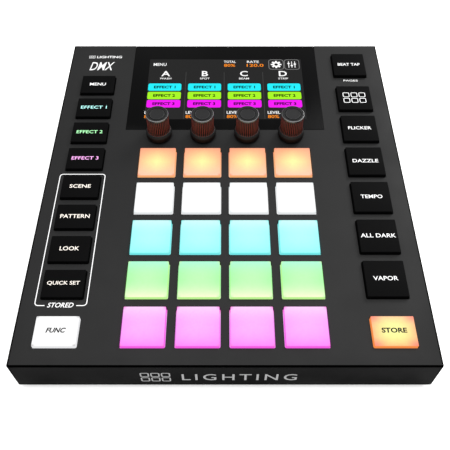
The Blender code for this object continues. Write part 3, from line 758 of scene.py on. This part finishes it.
def make_legends(inks):
    for key, (words, colour, width) in KEY_LEGENDS.items():
        style = {"width": width / 1000, "bold": 0.009}
        label(f"{key}_legend", words, inks[colour], on_key(key), LEGEND_HEIGHT, key, **style)
    for key, (words, width, slant) in LIT_LEGENDS.items():
        style = {"width": width / 1000, "slant": slant, "bold": 0.034}
        place = on_key(key, LIT_LEGEND_SHIFT)
        label(f"{key}_legend", words, inks["grey"], place, LIT_LEGEND_HEIGHT, key, **style)
    white, print_ink = inks["white"], inks["print"]
    make_grid_sign("key_grid_sign", white, "key_grid", on_key("key_grid"), 0.0148, 0.00045)
    make_bracket(white)
    x, tap_y, _, depth = cap_span("key_tap")
    under_tap = on_deck(x, tap_y - depth / 2 - 0.0031)
    label("pages_label", "PAGES", white, under_tap, 0.0017, width=0.01)
    left = cap_span("key_menu")[0]
    small = on_deck(left + 0.0044, NAME_Y)
    label("desk_name_small", "LIGHTING", print_ink, small, 0.0025, width=0.018, bold=0.022)
    sign = on_deck(left - 0.008, NAME_Y)
    make_grid_sign("desk_name_sign", print_ink, "root", sign, 0.0042, 0.00022)
    large = on_deck(left + 0.0002, 0.2268)
    style = {"width": 0.0172, "slant": 0.28, "bold": 0.006}
    label("desk_name_large", "DMX", print_ink, large, 0.0086, **style)


def make_grid_sign(name, ink, body, matrix, width, line, tall=1.0):
    """Six outlined squares, three by two: the desk's sign for its pads."""
    size = width * 0.27
    pitch = width * 0.365

    def build(shape):
        for column in (-1, 0, 1):
            for row in (-0.5, 0.5):
                outline = rounded_outline(size, size * tall, size * 0.18, 3)
                path = [(column * pitch + px, row * pitch * tall + py) for px, py in outline]
                add_strip(shape, path, line, closed=True)

    built(name, build, ink, body, matrix)


BRACKET_SIDE = 0.0026  # clear of the keys at either side, the front and the back
BRACKET_FRONT = 0.0039
BRACKET_BACK = 0.0025
BRACKET_SHIFT = -0.0002
BRACKET_OPENING = 0.017
BRACKET_RADIUS = 0.0018
BRACKET_LINE = 0.00048


def make_bracket(ink):
    """The line round the four bank keys, open at the front for its label."""
    x, low_y, low_width, low_depth = cap_span("key_bank_1")
    _, high_y, _, high_depth = cap_span("key_bank_4")
    front = low_y - low_depth / 2 - BRACKET_FRONT
    back = high_y + high_depth / 2 + BRACKET_BACK
    depth = back - front
    x += BRACKET_SHIFT
    outline = rounded_outline(low_width + 2 * BRACKET_SIDE, depth, BRACKET_RADIUS, 4)
    ends = [(side * BRACKET_OPENING / 2, -depth / 2) for side in (1, -1)]
    path = ends[:1] + outline[-5:] + outline[:-5] + ends[1:]

    def build(shape):
        add_strip(shape, path, BRACKET_LINE)

    built("bank_bracket", build, ink, "root", on_deck(x, (front + back) / 2))
    style = {"width": 0.014, "bold": 0.012, "slant": 0.25}
    label("bank_bracket_label", "STORED", ink, on_deck(x, front + 0.0003), 0.0029, **style)


FRONT_MARK_Z = -0.0139


def make_front_mark(ink):
    """The word and the grid sign on the front lip."""
    face = on_deck(z=FRONT_MARK_Z) @ turn(90)
    word, sign = (face @ Matrix.Translation((x, 0, 0)) for x in (0.0075, -0.0362))
    style = {"width": 0.06, "spacing": 1.3, "bold": 0.004}
    label("front_word", "LIGHTING", ink, word, 0.008, **style)
    make_grid_sign("front_sign", ink, "root", sign, 0.015, 0.0007, 1.1)


# ---- screen

SCREEN_LOW = (-0.0538, 0.1739)
SCREEN_HIGH = (0.0544, 0.2341)
COLUMN_STARTS = (-0.0532, -0.0256, 0.0019, 0.0294)
COLUMN_WIDTH = 0.0229
COLUMN_LINES = (-0.0275, -0.0006, 0.0266)
COLUMN_LINE_ENDS = (0.1743, 0.2205)
BARS = (
    # words, ink, middle
    ("EFFECT 1", "bar_cyan", 0.205),
    ("EFFECT 2", "bar_green", 0.1966),
    ("EFFECT 3", "bar_magenta", 0.1886),
)
BAR_DEPTH = 0.0073
BAR_CORNER = 0.0013
BAR_WORD_HEIGHT = 0.0027
SCREEN_WORDS = (
    # name, words, ink, middle, height and width
    ("title", "MENU", "screen_white", -0.0464, 0.2286, 0.003, 0.0092),
    ("total", "TOTAL", "screen_white", 0.0035, 0.2315, 0.0024, 0.0085),
    ("total_value", "80%", "orange", 0.0033, 0.2277, 0.003, 0.008),
    ("tempo", "RATE", "screen_white", 0.02, 0.2315, 0.0024, 0.0085),
    ("tempo_value", "120.0", "orange", 0.0215, 0.2277, 0.003, 0.012),
)
COLUMN_WORDS = (
    # name, words for A to D, ink, right of the column's start, up the deck, height, then the style
    ("group", "A B C D", "screen_white", COLUMN_WIDTH / 2, 0.2189, 0.0054, {"bold": 0.018}),
    ("kind", "WASH SPOT BEAM STRIP", "screen_white", COLUMN_WIDTH / 2, 0.2138, 0.0018, {"bold": 0.01}),
    ("level", "LEVEL " * 4, "screen_white", 0.0035, 0.1802, 0.0026, {"width": 0.0085, "bold": 0.01}),
    ("value", "80% " * 4, "orange", 0.003, 0.1764, 0.0029, {"width": 0.0075, "bold": 0.01}),
)
PANE_CORNER = 0.0006
PANE_EDGE = 0.0002


def make_screen(inks):
    low, high = deck_span("screen_glass")
    width, depth, _ = high - low
    middle = (low + high) / 2

    def pane(shape):
        body = rounded_outline(width, depth, PANE_CORNER)
        add_layers(shape, [(body, low.z)] + eased(width, depth, PANE_CORNER, 0.0, PANE_EDGE, 2))

    place = on_deck(middle.x, middle.y)
    built("screen_pane", pane, glass_paint(), "root", place, ("screen_glass",), "glass")

    def area(shape):
        wide, deep = (b - a for a, b in zip(SCREEN_LOW, SCREEN_HIGH))
        add_plate(shape, wide, deep, SHARPEST, top=PRINT / 2)

    centre = [(a + b) / 2 for a, b in zip(SCREEN_LOW, SCREEN_HIGH)]
    built("screen_area", area, inks["screen"], "root", on_deck(*centre))

    def lines(shape):
        for x in COLUMN_LINES:
            add_strip(shape, [(x, y) for y in COLUMN_LINE_ENDS], 0.00025)

    built("screen_lines", lines, inks["line"], "root", DECK)

    for words, ink, y in BARS:
        def bars(shape):
            for start in COLUMN_STARTS:
                add_plate(shape, COLUMN_WIDTH, BAR_DEPTH, BAR_CORNER, start + COLUMN_WIDTH / 2, y)

        built(f"screen_{ink}", bars, inks[ink], "root", DECK)
        style = {"width": 0.015, "bold": 0.034}
        for letter, start in zip(LETTERS, COLUMN_STARTS):
            place = on_deck(start + COLUMN_WIDTH / 2, y, PRINT)
            name = f"screen_{ink}_word_{letter}"
            label(name, words, inks["dark"], place, BAR_WORD_HEIGHT, **style)

    for column, start in enumerate(COLUMN_STARTS):
        for name, words, ink, x, y, height, style in COLUMN_WORDS:
            name = f"screen_{name}_{'ABCD'[column]}"
            place = on_deck(start + x, y)
            label(name, words.split()[column], inks[ink], place, height, **style)
    for name, words, ink, x, y, height, width in SCREEN_WORDS:
        label(f"screen_{name}", words, inks[ink], on_deck(x, y), height, width=width, bold=0.012)
    make_screen_icons(inks)


ICON_PLACES = (("gear", 0.03655), ("faders", 0.04775))
ICON_Y = 0.2286
ICON_SIZE = (0.0104, 0.0103)
ICON_CORNER = 0.0018
GEAR_TEETH = 8
GEAR_LINE = 0.0014


def make_screen_icons(inks):
    def frames(shape):
        for _, x in ICON_PLACES:
            outline = [(x + px, ICON_Y + py) for px, py in rounded_outline(*ICON_SIZE, ICON_CORNER, 3)]
            add_strip(shape, outline, 0.0004, closed=True)

    def gear(shape):
        add_strip(shape, circle(0.002, 24), GEAR_LINE, closed=True)
        for i in range(GEAR_TEETH):
            angle = 2 * math.pi * i / GEAR_TEETH
            ends = [(r * math.cos(angle), r * math.sin(angle)) for r in (0.0024, 0.0038)]
            add_strip(shape, ends, GEAR_LINE)

    def faders(shape):
        for x, y in ((-0.0022, 0.001), (0.0, -0.0012), (0.0022, 0.0004)):
            add_strip(shape, [(x, -0.0033), (x, 0.0033)], 0.0005)
            add_plate(shape, 0.0017, 0.0012, 0.0003, x, y, top=PRINT * 1.5)

    built("screen_icon_frames", frames, inks["frame"], "root", DECK)
    for (name, x), build in zip(ICON_PLACES, (gear, faders)):
        built(f"screen_icon_{name}", build, inks["screen_white"], "root", on_deck(x, ICON_Y))


# ---- knobs

RIBS = 36
RIB_DEPTH = 0.00055
KNOB_BODY = 0.007
KNOB_CAP = 0.0072
RIM_DROP = 0.00006  # how far the bright ring sits under the highest point of the knob
GRIP_BOTTOM = 0.0062
SKIRT_EDGE = 0.0042  # the skirt slopes above this height and stands upright below
GRIP_WAIST = 0.009  # above this the grip is straight
GRIP_FLARE = 0.0005  # how much wider it is at its bottom
DISC_MIDDLE = 0.002


def grip_paint():
    """Red-brown rubber whose grooves fall away to black: painted shade in the grooves."""
    paint = Paint("knob_grip", roughness=0.5, specular=0.35)
    axes = paint.axes()
    square = paint.math("ADD", *[paint.math("MULTIPLY", axes[i], axes[i]) for i in (0, 1)])
    flare = paint.spread(axes[2], GRIP_BOTTOM, GRIP_WAIST, GRIP_FLARE, 0.0, False)
    ground = paint.math("SUBTRACT", paint.math("SQRT", square), flare)
    # Painted shade: only the crests keep the red-brown; the grooves and the sides of the ribs go black.
    crest = paint.spread(ground, KNOB_BODY - RIB_DEPTH * 0.35, KNOB_BODY - RIB_DEPTH * 0.05)
    patches = paint.spread(paint.noise(500.0, 2.0), 0.3, 0.7)
    drift = paint.mix(patches, (0.17, 0.021, 0.013), (0.13, 0.017, 0.011))
    paint.colour(paint.mix(crest, (0.003, 0.0016, 0.0016), drift))
    paint.bump(paint.noise(3000.0), FINE_BUMP)
    paint.vary("Roughness", paint.noise(200.0), 0.42, 0.56)
    return paint.material


def skirt_finish():
    """Black rubber, reddish on its upright wall, and greyer on the slope above: a painted highlight
    where the slope faces up.
    """
    paint = Paint("knob_skirt", specular=0.16)
    paint.grain(0.0003, 0.00001, 0.4, 0.52)
    # Painted highlight: the upward slope is a lighter grey copy of the same black rubber.
    slope = paint.spread(paint.axes()[2], SKIRT_EDGE - 0.0003, SKIRT_EDGE + 0.0006)
    patches = paint.spread(paint.noise(400.0), 0.3, 0.7)
    drift = paint.mix(patches, (0.006, 0.003, 0.0028), (0.0046, 0.0024, 0.0022))
    paint.colour(paint.mix(slope, drift, (0.0135, 0.014, 0.0142)))
    return paint.material


def ripple(row, angle):
    """Depth of a groove of the grip, none in its end rows."""
    wave = 0.5 + 0.5 * math.cos(RIBS * angle)
    return RIB_DEPTH * (1.0 - min(1.0, wave * 1.3)) if 0 < row < 6 else 0.0


def knob_profiles(wide, bottom, top):
    """(radius, height) rows of a knob's grip, skirt, bright ring, disc and ring line."""
    foot = KNOB_BODY + GRIP_FLARE
    inner = KNOB_CAP - 0.0007
    rim = top - RIM_DROP
    grip = [
        *rows(foot, GRIP_BOTTOM, (-2, -2), (0, 0)),
        (KNOB_BODY + GRIP_FLARE * 0.45, (GRIP_BOTTOM * 2 + GRIP_WAIST) / 3),
        (KNOB_BODY + GRIP_FLARE * 0.15, (GRIP_BOTTOM + GRIP_WAIST * 2) / 3),
        (KNOB_BODY, GRIP_WAIST),
        *rows(KNOB_BODY, top, (0, -19), (-5, -14)),
    ]
    skirt = rows(wide, bottom, (-6, 0), (-1, 4)) + rows(wide, SKIRT_EDGE, (0, -6), (-1, 0), (-4, 7))
    skirt += rows(foot, GRIP_BOTTOM, (2, -3), (-2, 0), (-10, 1))
    ring = rows(KNOB_CAP, rim, (-4, -14), (0, -11), (0, -4), (-2, -0.5), (-4.5, 0), (-6, -3), (-6, -14))
    disc = rows(inner, top, (0, -14), (0, -4), (-10, -4), (-13, -8), (-16, -8), (-19, -4))
    disc += rows(DISC_MIDDLE, top, (0, -4))
    line = rows(inner, top, (-22, -6), (-19, -6), (-19, -3), (-20, -2), (-21, -2), (-22, -3))
    return grip, skirt, ring, disc, line


def make_knobs():
    grip_look = grip_paint()
    bright = plain_paint("knob_ring", (0.17, 0.17, 0.17), 0.3, 0.42, 0.0002, 0.000004, 1.0)
    grain = (0.42, 0.55, 0.00025, FINE_BUMP)
    disc_look = plain_paint("knob_disc", (0.012, 0.012, 0.0125), *grain, specular=0.15)
    line_look = plain_paint("knob_line", (0.036, 0.036, 0.0365), *grain, specular=0.25)
    skirt_look = skirt_finish()

    for letter in LETTERS:
        knob = f"knob_{letter}"
        low, high = deck_span(knob)
        middle = (low + high) / 2
        matrix = on_deck(middle.x, middle.y)
        grip, skirt, ring, disc, line = knob_profiles((high.x - low.x) / 2, low.z, high.z)
        mesh = turned(f"{knob}_grip", grip, RIBS * 8, ripple)
        finish_piece(f"{knob}_grip", mesh, grip_look, knob, matrix, (knob,), "knob", 40)
        for part, profile, look in (
            ("skirt", skirt, skirt_look),
            ("ring", ring, bright),
            ("disc", disc, disc_look),
            ("line", line, line_look),
        ):
            spun(f"{knob}_{part}", profile, look, knob, matrix, ring=part in ("ring", "line"))


# ---- back, sides and underside

FOOT_TOP = 0.003
FOOT_STEM = 0.002
SCREW_RADIUS = 0.0027
SMALL_SCREW_RADIUS = 0.0019
SIDE_SCREW_PLACES = (0.06, 0.19)  # up the deck
SIDE_SCREW_RISE = 0.0055  # over the case's bottom edge
TRAY_SCREW_INSET = (0.008, 0.035)


def make_feet():
    dark = (0.012, 0.012, 0.012)
    rubber = plain_paint("foot_rubber", dark, 0.75, 0.92, 0.0006, 0.00006, specular=0.3)
    for name in ("front_left", "front_right", "rear_left", "rear_right"):
        low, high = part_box(f"foot_{name}")
        middle = [(a + b) / 2 for a, b in zip(low, high)]
        radius = (high[0] - low[0]) / 2
        profile = rows(radius, 0.0, (-14, 0), (-9, 1), (-3, 6), (0, 14))
        profile += rows(radius, FOOT_TOP, (0, -3), (-3, 0))
        profile += [(FOOT_STEM, FOOT_TOP), (FOOT_STEM, high[2])]
        matrix = Matrix.Translation((middle[0], middle[1], 0))
        spun(f"foot_{name}_pad", profile, rubber, "root", matrix, (f"foot_{name}",), "foot_rubber")


def add_screws(kind, places, steel, radius=SCREW_RADIUS):
    """Round-headed screws, each with a socket in its face, at height 0."""
    profile = rows(radius, 0.0, (-8, -12), (-2, -3), (0, -1), (-2, 1))
    profile += [(radius * 0.45, 0.0002), (radius * 0.4, -0.0004), (radius * 0.1, -0.0008)]
    for number, matrix in enumerate(places, 1):
        spun(f"{kind}_screw_{number}", profile, steel, "root", matrix, steps=24)


def make_screws():
    steel = plain_paint("screw_black", (0.03, 0.03, 0.031), 0.3, 0.45, 0.0004, 0.00001, 1.0)
    sides = []
    for side in (-1, 1):
        spin = turn(90 * side, "Y") @ Matrix.Translation((0, 0, -0.0002))
        for y in SIDE_SCREW_PLACES:
            sides.append(on_deck(side * CASE_WIDTH / 2, y, base_height(y) + SIDE_SCREW_RISE) @ spin)
    add_screws("side", sides, steel)
    low, high = deck_span("rear_panel")
    inset = 0.006
    spots = [(x, z) for x in (low.x + inset, high.x - inset) for z in (low.z + inset, high.z - inset)]
    add_screws("rear", [on_deck(x, high.y, z) @ turn(-90) for x, z in spots], steel)
    low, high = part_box("base_tray")
    across, along = TRAY_SCREW_INSET
    columns = (low[0] + across, 0.0, high[0] - across)
    spots = [(x, y) for x in columns for y in (low[1] + along, high[1] - along)]
    add_screws("base", [Matrix.Translation((x, y, low[2])) @ turn(180) for x, y in spots], steel)


SOCKET_CORNER = 0.003
SOCKET_LOW = -0.0017
SOCKET_SCREW_INSET = 0.0033
BARREL_RADIUS = 0.0114
BARREL_TOP = -0.0008
MOUTH_RADIUS = 0.0097
MOUTH_BOTTOM = -0.011
CONTACT_REACH = 0.0045  # from the socket's middle
LABEL_GAP = 0.0028  # from socket to label
# (radius, height) rows
SOCKET_RIM = [(0.0098, 0.0), (0.0113, 0.0), (0.011, 0.0003), (0.0101, 0.0003)]
SOCKET_INSERT = [(0.0076, -0.0109), (0.0076, -0.001), (0.0072, -0.0006), (0.003, -0.0006)]
CONTACT_LIP = [
    (0.0008, -0.001), (0.0015, -0.001), (0.0015, 0.0001), (0.0013, 0.0002), (0.0008, 0.0002)
]


def make_sockets(inks):
    shell = plain_paint("socket_shell", (0.022, 0.022, 0.023), 0.32, 0.48, 0.0005, 0.00002, 0.6)
    insert_paint = plain_paint("socket_insert", (0.012, 0.012, 0.013), 0.45, 0.6, 0.0004, 0.00001)
    brass = plain_paint("socket_contact", (0.75, 0.52, 0.2), 0.2, 0.35, 0.0003, 0.000004, 1.0)
    steel = plain_paint("socket_screw", (0.35, 0.35, 0.36), 0.25, 0.4, 0.0004, 0.00001, 1.0)
    for number in (1, 2, 3):
        node = f"dmx_socket_{number}"
        low, high = deck_span(node)
        middle = (low + high) / 2
        width, _, tall = high - low
        face = high.y
        matrix = on_deck(middle.x, face, middle.z) @ turn(-90)

        def plate(shape):
            body = rounded_outline(width, tall, SOCKET_CORNER)
            add_layers(shape, [(body, SOCKET_LOW)] + eased(width, tall, SOCKET_CORNER, 0.0, 0.0004, 3))

        piece = built(f"{node}_shell", plate, shell, "root", matrix, (node,), "socket_metal")

        def barrel(shape):
            add_prism(shape, circle(BARREL_RADIUS), low.y - face, BARREL_TOP)

        def mouth(shape):
            add_prism(shape, circle(MOUTH_RADIUS), MOUTH_BOTTOM, MARGIN)

        cut(piece, "UNION", barrel)
        cut(piece, "DIFFERENCE", mouth)
        smooth_below(piece.data, 30)
        rim_place = matrix @ Matrix.Translation((0, 0, -0.0001))
        spun(f"{node}_rim", SOCKET_RIM, shell, "root", rim_place, ring=True)
        spun(f"{node}_insert", SOCKET_INSERT, insert_paint, "root", matrix)
        for i in range(3):
            angle = math.radians(90 + 120 * i)
            spot = (CONTACT_REACH * math.cos(angle), CONTACT_REACH * math.sin(angle), -0.0006)
            place = matrix @ Matrix.Translation(spot)
            name = f"{node}_contact_{i + 1}"
            spun(name, CONTACT_LIP, brass, "root", place, steps=20, ring=True)
        x, y = width / 2 - SOCKET_SCREW_INSET, tall / 2 - SOCKET_SCREW_INSET
        spots = [matrix @ Matrix.Translation(spot) for spot in ((-x, y, 0.0), (x, -y, 0.0))]
        add_screws(node, spots, steel, SMALL_SCREW_RADIUS)
        place = on_deck(middle.x, deck_span("rear_panel")[1].y, high.z + LABEL_GAP)
        place = place @ turn(180, "Z") @ turn(90)
        label(f"dmx_label_{number}", f"DMX {number}", inks["print"], place, 0.0024, bold=0.01)


def paint_cad_nodes():
    """Procedural finishes for the CAD nodes that stay as they are."""
    tray, panel = (0.02, 0.02, 0.021), (0.026, 0.026, 0.027)
    display = (0.45, 0.45, 0.46)
    looks = {
        "base_tray": plain_paint("tray_coat", tray, 0.42, 0.58, 0.0006, 0.00004, specular=0.4),
        "rear_panel": plain_paint("panel_coat", panel, 0.42, 0.56, 0.0005, 0.00004, specular=0.4),
        "display_module": brushed_paint("display_steel", display, 0.28, 0.45, (0.05, 1.0, 1.0)),
        "usb_socket": brushed_paint("usb_steel", (0.6, 0.6, 0.61), 0.25, 0.4, (1.0, 0.05, 1.0)),
        "control_board": board_paint("control_board_mask", (0.01, 0.055, 0.028)),
        "main_board": board_paint("main_board_mask", (0.01, 0.05, 0.03)),
    }
    shaft = brushed_paint("shaft_steel", (0.55, 0.55, 0.56), 0.22, 0.38, (1.0, 1.0, 0.05))
    for letter in LETTERS:
        looks[f"encoder_shaft_{letter}"] = shaft
    for node, material in looks.items():
        mesh = frame["nodes"][node].data
        mesh.materials.clear()
        mesh.materials.append(material)


# ---- studio

FLOOR_HALF = 3.0
LAMPS = (
    # name, place, size, power
    ("key_light", (0.0, -0.1, 1.5), 1.6, 26.0),
    ("back_right_light", (0.75, 0.75, 0.8), 0.5, 9.0),
)
EYE = (0.0, -0.1248, 0.297)  # of the camera, in the deck's frame
DOWNWARD = 90 - 54.446  # degrees from looking straight down at the deck


def make_studio():
    def slab(shape):
        add_box(shape, (-FLOOR_HALF, -FLOOR_HALF, -0.02), (FLOOR_HALF, FLOOR_HALF, -0.00002))

    floor = add_object("floor", mesh_from("floor", slab))
    pale = Paint("floor_pale", (0.86, 0.86, 0.86), 0.85, specular=0.1)
    pale.vary("Roughness", pale.noise(3.0), 0.8, 0.9)
    pale.set("Emission Color", (1.0, 1.0, 1.0, 1.0))
    pale.set("Emission Strength", 0.45)
    floor.data.materials.append(pale.material)

    world = bpy.data.worlds.new("studio")
    world.use_nodes = True
    background = world.node_tree.nodes["Background"]
    background.inputs["Color"].default_value = (1.0, 1.0, 1.0, 1.0)
    background.inputs["Strength"].default_value = 0.55
    bpy.context.scene.world = world

    for lamp in LAMPS:
        add_area(*lamp)

    camera = bpy.data.cameras.new("camera")
    camera.lens = 50.0
    camera.sensor_width = 36.0
    camera.clip_start = 0.01
    bpy.context.scene.camera = add_object("camera", camera, on_deck(*EYE) @ turn(DOWNWARD))
    bpy.context.scene.view_settings.view_transform = "Standard"


def add_area(name, place, size, power):
    """A square lamp that looks at the middle of the floor."""
    light = bpy.data.lights.new(name, "AREA")
    light.size = size
    light.energy = power
    lamp = add_object(name, light)
    lamp.location = place
    lamp.rotation_euler = (-Vector(place)).to_track_quat("-Z", "Y").to_euler()


PRINTED = 0.5  # share of an ink's colour that the lamps light
LIT = 0.04

INKS = {
    # colour, strength of its own light, share lit by the lamps; the printed inks' own light is painted
    # glow, the screen's is real
    "white": ((0.9, 0.9, 0.9), 0.75, PRINTED),
    "warm": ((0.9, 0.84, 0.76), 0.75, PRINTED),
    "cyan": ((0.45, 0.92, 0.88), 0.75, PRINTED),
    "green": ((0.4, 0.92, 0.45), 0.75, PRINTED),
    "pink": ((0.92, 0.42, 0.85), 0.75, PRINTED),
    "grey": ((0.01, 0.009, 0.01), 0.3, PRINTED),
    "print": ((0.8, 0.8, 0.8), 0.6, PRINTED),
    "front": ((0.38, 0.38, 0.38), 0.45, PRINTED),
    "screen": (shown("292929"), 1.0, LIT),
    "line": (shown("4e4e4e"), 1.0, LIT),
    "frame": (shown("8c8c8c"), 1.0, LIT),
    "screen_white": (shown("fafafa"), 1.1, LIT),
    "orange": (shown("fa8c1e"), 1.1, LIT),
    "dark": ((0.002, 0.002, 0.002), 0.1, LIT),
    "bar_cyan": (shown("26eefa"), 1.0, LIT),
    "bar_green": (shown("a5f528"), 1.0, LIT),
    "bar_magenta": (shown("f41ef6"), 1.0, LIT),
}

inks = {name: ink_paint(f"ink_{name}", *look) for name, look in INKS.items()}
make_studio()
make_cover()
make_caps()
make_legends(inks)
make_front_mark(inks["front"])
make_screen(inks)
make_knobs()
make_feet()
make_screws()
make_sockets(inks)
paint_cad_nodes()
